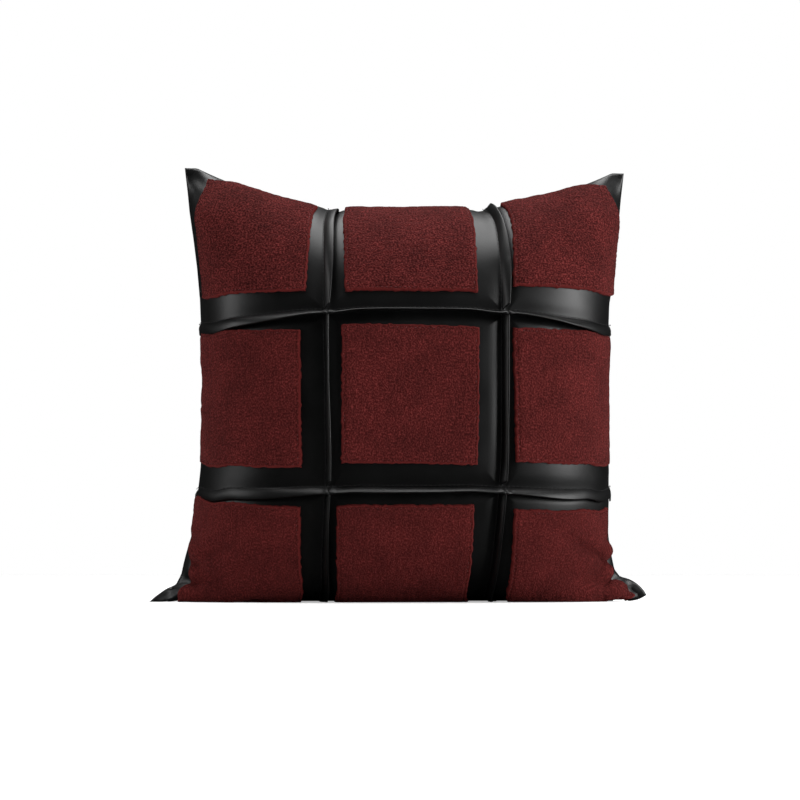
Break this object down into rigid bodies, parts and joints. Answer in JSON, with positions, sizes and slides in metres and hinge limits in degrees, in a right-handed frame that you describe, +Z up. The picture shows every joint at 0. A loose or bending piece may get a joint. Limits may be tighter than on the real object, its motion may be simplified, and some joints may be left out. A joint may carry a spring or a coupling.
{
  "type": "throw pillow",
  "caption": "Square throw pillow with a tucked leather cover, plush patchwork front, zip closure and removable fibre-filled insert.",
  "frame": {"origin": "bottom centre of the pillow standing on its zip edge, in the plane of the seam", "axes": "+X to the right when looking at the patchwork side, +Y to the back, +Z up"},
  "size_m": [0.45, 0.1916, 0.3868],
  "materials": {
    "leather": "satin",
    "plush": "matte",
    "thread_black": "satin",
    "thread_burgundy": "satin",
    "thread_white": "matte",
    "insert_cloth": "matte",
    "filling": "matte",
    "zip_tape": "matte",
    "zip_coil": "satin",
    "zip_metal": "satin"
  },
  "bodies": {
    "cover": {"cover_front": "leather", "cover_back": "leather", "seam_stitching": "thread_black", "insert_casing_front": "insert_cloth", "insert_casing_back": "insert_cloth", "insert_stitching": "thread_white", "filling": "filling", "zip_top_stops": "zip_metal", "zip_bottom_stop": "zip_metal", "tuck_stitching_left": "thread_black", "tuck_stitching_right": "thread_black", "tuck_stitching_lower": "thread_black", "tuck_stitching_upper": "thread_black", "plush_patch_bottom_left": "plush", "patch_stitching_bottom_left": "thread_burgundy", "plush_patch_bottom_centre": "plush", "patch_stitching_bottom_centre": "thread_burgundy", "plush_patch_bottom_right": "plush", "patch_stitching_bottom_right": "thread_burgundy", "plush_patch_middle_left": "plush", "patch_stitching_middle_left": "thread_burgundy", "plush_patch_middle_centre": "plush", "patch_stitching_middle_centre": "thread_burgundy", "plush_patch_middle_right": "plush", "patch_stitching_middle_right": "thread_burgundy", "plush_patch_top_left": "plush", "patch_stitching_top_left": "thread_burgundy", "plush_patch_top_centre": "plush", "patch_stitching_top_centre": "thread_burgundy", "plush_patch_top_right": "plush", "patch_stitching_top_right": "thread_burgundy", "zip_tape_front": "zip_tape", "zip_coil_front": "zip_coil", "zip_tape_stitching_front": "thread_black", "zip_tape_back": "zip_tape", "zip_coil_back": "zip_coil", "zip_tape_stitching_back": "thread_black"},
    "slider": {"zip_slider": "zip_metal"},
    "pull": {"zip_pull": "zip_metal"}
  },
  "joints": [
    {"name": "zip_slide", "type": "slide", "parent": "cover", "child": "slider", "axis": [1, 0, 0], "range_m": [-0.344, 0]},
    {"name": "pull_flip", "type": "hinge", "parent": "slider", "child": "pull", "pos_m": [0.1715, 0, 0.00145], "axis": [0, -1, 0], "range_deg": [0, 180]}
  ]
}
